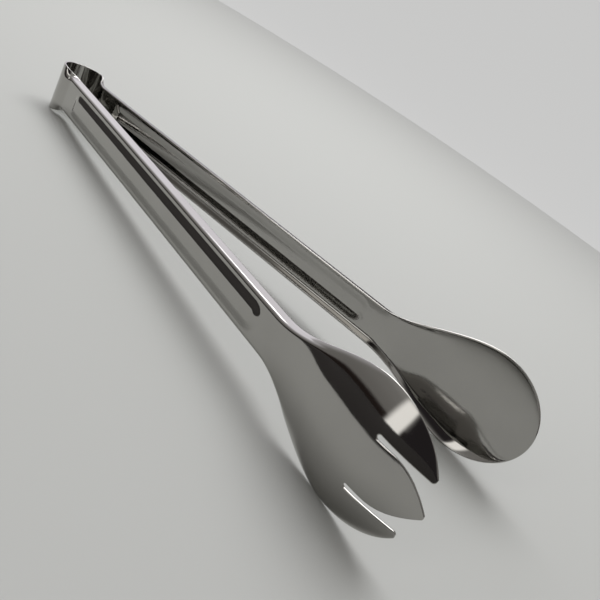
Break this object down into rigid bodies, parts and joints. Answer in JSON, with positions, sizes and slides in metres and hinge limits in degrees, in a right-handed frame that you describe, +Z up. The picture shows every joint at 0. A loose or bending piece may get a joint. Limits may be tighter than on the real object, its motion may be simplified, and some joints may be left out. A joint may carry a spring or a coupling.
{
  "type": "serving tongs",
  "caption": "Sprung serving tongs pressed from one bent strip of polished steel, one arm ending in a pronged fork and the other in an oval spoon.",
  "frame": {"origin": "on the table, under the middle of the tongs' length and width, with the tongs lying on their side", "axes": "+X from the bow towards the heads, +Y towards the spoon, +Z up from the table across the width of the strip"},
  "size_m": [0.2527, 0.0887, 0.042],
  "materials": {
    "polished_steel": "mirror-polished stainless steel with faint handling marks"
  },
  "bodies": {
    "bow": {"spring_bow": "polished_steel"},
    "fork_side": {"fork_arm": "polished_steel", "fork_head": "polished_steel"},
    "spoon_side": {"spoon_arm": "polished_steel", "spoon_head": "polished_steel"}
  },
  "joints": [
    {"name": "fork_swing", "type": "hinge", "parent": "bow", "child": "fork_side", "pos_m": [-0.11861, -0.00922, 0.01083], "axis": [-0.0464, 0, 0.9989], "range_deg": [0, 9.2], "stiffness_Nm_per_rad": 2.4},
    {"name": "spoon_swing", "type": "hinge", "parent": "bow", "child": "spoon_side", "pos_m": [-0.11861, 0.00922, 0.01083], "axis": [0.0464, 0, -0.9989], "range_deg": [0, 9.2], "stiffness_Nm_per_rad": 2.4}
  ],
  "couplings": [
    {"joint": "spoon_swing", "follows": "fork_swing", "ratio": 1}
  ]
}
